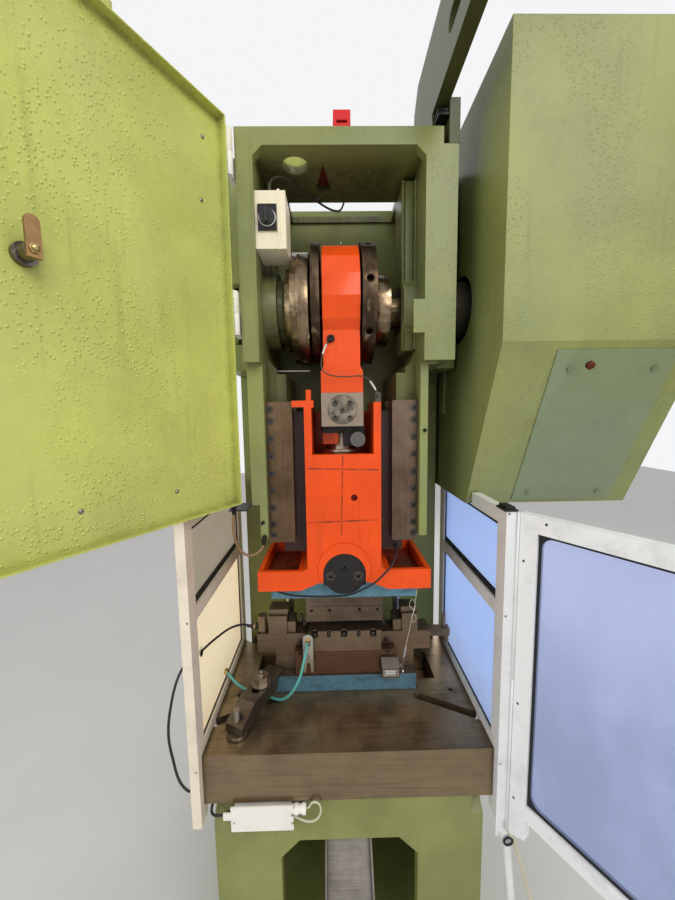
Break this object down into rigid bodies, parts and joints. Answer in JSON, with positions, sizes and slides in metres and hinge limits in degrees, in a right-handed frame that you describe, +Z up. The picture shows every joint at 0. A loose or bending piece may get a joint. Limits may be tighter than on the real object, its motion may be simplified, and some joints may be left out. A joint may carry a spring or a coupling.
{
  "type": "mechanical stamping press",
  "caption": "Open-front C-frame eccentric stamping press with crown door, flywheel guard, slide between gibs, T-slot table, small die set and hinged front guard.",
  "frame": {"origin": "on the floor, straight under the axis of the slide", "axes": "+X to the right seen from the front, +Y into the machine, +Z up"},
  "size_m": [1.3167, 1.6502, 2.548],
  "materials": {
    "green_paint": "semi-gloss",
    "dark_green_paint": "semi-gloss, oily",
    "orange_paint": "gloss, brushed on",
    "blue_paint": "matt, worn",
    "table_steel": "ground, oily and brown",
    "dark_steel": "oily",
    "gib_steel": "oily brown",
    "bright_steel": "turned",
    "black_oxide": "black oxide",
    "bronze": "machined",
    "aluminium": "anodised",
    "guard_panel": "clear sheet in its film",
    "white_plastic": "matt",
    "grey_plastic": "matt",
    "red_plastic": "matt",
    "ivory_paint": "gloss",
    "rubber": "matt"
  },
  "bodies": {
    "root": {"frame": "green_paint", "crown_housing": "dark_green_paint", "bolster": "table_steel", "bed_plate": "table_steel", "scrap_chute": "dark_steel", "guide_blocks": "gib_steel", "gib_left": "gib_steel", "gib_right": "gib_steel", "gib_screws": "black_oxide", "left_bearing": "bronze", "right_quill": "dark_steel", "shaft_cover": "dark_green_paint", "door_hinges": "ivory_paint", "interlock_switch": "red_plastic", "switch_box": "grey_plastic", "overhead_arm": "green_paint", "flywheel_guard": "green_paint", "guard_hatch": "green_paint", "motor": "dark_steel", "drive_belt": "rubber", "lower_shoe": "blue_paint", "die_block": "dark_steel", "die_plate": "dark_steel", "stock_guides": "dark_steel", "guide_pillars": "bright_steel", "nozzle_bracket": "bright_steel", "stroke_counter": "dark_steel", "strap_clamp": "dark_steel", "clamp_studs": "dark_steel", "left_guard": "aluminium", "right_guard": "aluminium", "guard_panels": "guard_panel", "terminal_box": "white_plastic"},
    "crank": {"crankshaft": "bright_steel", "setting_drum": "bright_steel", "eccentric_bush": "dark_steel", "clamp_ring": "dark_steel", "clutch_hub": "dark_steel"},
    "rod": {"rod": "orange_paint", "rod_bush": "bronze", "clamp_block": "bright_steel", "block_cover": "bright_steel", "ball_spindle": "bright_steel", "adjuster_collar": "black_oxide"},
    "adjuster": {"adjuster_knob": "dark_steel"},
    "slide": {"slide": "orange_paint", "shank_cap": "black_oxide", "slide_screws": "black_oxide", "ball_seat": "bronze", "upper_shoe": "blue_paint", "punch_plate": "dark_steel"},
    "flywheel": {"flywheel": "dark_steel"},
    "motor_rotor": {"motor_pulley": "dark_steel"},
    "door": {"crown_door": "green_paint", "door_lock": "dark_steel"},
    "catch": {"lock_cam": "bronze"},
    "selector": {"selector_knob": "grey_plastic"},
    "lever": {"counter_lever": "bright_steel"},
    "front_guard": {"front_guard": "aluminium", "front_panel": "guard_panel"}
  },
  "joints": [
    {"name": "crank_turn", "type": "hinge", "parent": "root", "child": "crank", "pos_m": [0, 0, 1.95], "axis": [-1, 0, 0], "range_deg": [0, 180]},
    {"name": "slide_stroke", "type": "slide", "parent": "root", "child": "slide", "axis": [0, 0, -1], "range_m": [0, 0.03]},
    {"name": "rod_swing", "type": "hinge", "parent": "crank", "child": "rod", "pos_m": [0, 0, 1.965], "axis": [1, 0, 0], "range_deg": [0, 180]},
    {"name": "adjuster_turn", "type": "hinge", "parent": "rod", "child": "adjuster", "pos_m": [0.041, -0.08, 1.597], "axis": [0, -1, 0], "continuous": true},
    {"name": "flywheel_spin", "type": "hinge", "parent": "root", "child": "flywheel", "pos_m": [0.46, 0, 1.95], "axis": [1, 0, 0], "continuous": true},
    {"name": "motor_spin", "type": "hinge", "parent": "root", "child": "motor_rotor", "pos_m": [0.46, 0.44, 1.69], "axis": [1, 0, 0], "continuous": true},
    {"name": "door_swing", "type": "hinge", "parent": "root", "child": "door", "pos_m": [-0.252, -0.172, 1.9], "axis": [0, 0, 1], "range_deg": [-25, 121]},
    {"name": "catch_turn", "type": "hinge", "parent": "door", "child": "catch", "pos_m": [-0.43238, -0.51744, 1.897], "axis": [0.8572, -0.515, 0], "range_deg": [0, 90]},
    {"name": "selector_turn", "type": "hinge", "parent": "root", "child": "selector", "pos_m": [-0.171, -0.16, 2.124], "axis": [0, -1, 0], "range_deg": [0, 90]},
    {"name": "lever_tilt", "type": "hinge", "parent": "root", "child": "lever", "pos_m": [0.157, -0.094, 0.942], "axis": [1, 0, 0], "range_deg": [0, 44]},
    {"name": "front_guard_swing", "type": "hinge", "parent": "root", "child": "front_guard", "pos_m": [0.376, -0.294, 1.06], "axis": [0, 0, 1], "range_deg": [-122, 30]}
  ],
  "couplings": [
    {"joint": "slide_stroke", "follows": "crank_turn", "m_per_rad": 0.0095493},
    {"joint": "rod_swing", "follows": "crank_turn", "ratio": 1},
    {"joint": "lever_tilt", "follows": "crank_turn", "ratio": 0.24444},
    {"joint": "motor_spin", "follows": "flywheel_spin", "ratio": 3.9167}
  ]
}
